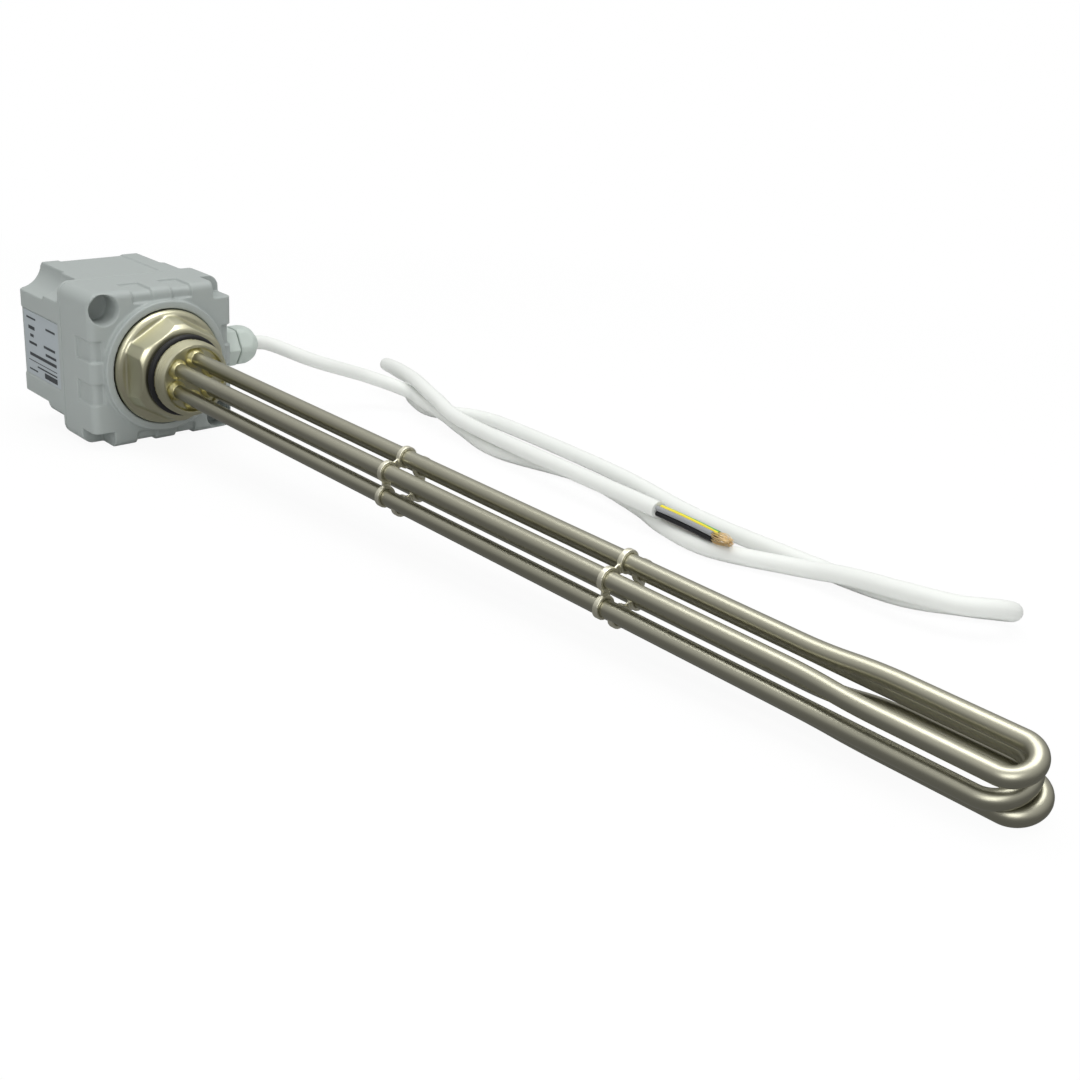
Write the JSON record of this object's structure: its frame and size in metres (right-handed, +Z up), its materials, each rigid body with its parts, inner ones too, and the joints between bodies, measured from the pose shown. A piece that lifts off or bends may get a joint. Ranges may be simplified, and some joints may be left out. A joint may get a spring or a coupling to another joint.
{
  "type": "screw plug immersion heater",
  "caption": "Immersion heater with bent tube elements on a threaded hexagon plug, a grey terminal box behind it and a white supply cord from a side gland.",
  "frame": {"origin": "on the plug axis where the free thread starts, just past the seal ring", "axes": "+X along the plug axis towards the element tips, +Y towards the cable gland, +Z up"},
  "size_m": [0.7136, 0.2592, 0.1006],
  "materials": {
    "box_plastic": "moulded, satin",
    "gland_plastic": "moulded, satin",
    "nickel": "nickel plated",
    "steel": "satin drawn tube",
    "screw_steel": "zinc plated",
    "brass": "plain",
    "rubber": "matt black",
    "powder": "pressed powder",
    "heating_wire": "drawn wire",
    "seal_silicone": "cast",
    "tin": "tinned",
    "cord_white": "smooth sheath",
    "core_brown": "core insulation",
    "core_black": "core insulation",
    "core_grey": "core insulation",
    "core_green": "core insulation, striped",
    "copper": "bare copper strands",
    "label_foil": "bare foil"
  },
  "bodies": {
    "root": {"housing_base": "box_plastic", "housing_cover": "box_plastic", "cover_gasket": "rubber", "cover_screws": "screw_steel", "rating_label": "label_foil", "plug_body": "nickel", "plug_o_ring": "rubber", "plug_gasket": "rubber", "plug_lock_nut": "nickel", "braze_collars": "brass", "element_top": "steel", "element_middle": "steel", "element_bottom": "steel", "filling_top": "powder", "filling_middle": "powder", "filling_bottom": "powder", "coil_top": "heating_wire", "coil_middle": "heating_wire", "coil_bottom": "heating_wire", "end_seals": "seal_silicone", "terminal_pins": "steel", "terminal_nuts": "brass", "terminal_washers": "screw_steel", "star_bridge": "brass", "ring_lugs": "tin", "earth_pillar": "brass", "earth_screw": "screw_steel", "inner_wire_brown": "core_brown", "inner_wire_black": "core_black", "inner_wire_grey": "core_grey", "inner_wire_earth": "core_green", "spacer_plate_1": "nickel", "spacer_plate_2": "nickel", "gland_body": "gland_plastic", "gland_washer": "rubber", "gland_lock_nut": "gland_plastic", "gland_seal": "rubber", "gland_dome_nut": "gland_plastic", "cord_tail": "cord_white", "power_cord": "cord_white", "end_core_green": "core_green", "end_core_grey": "core_grey", "end_core_black": "core_black", "end_core_brown": "core_brown", "copper_strands": "copper"}
  },
  "joints": []
}
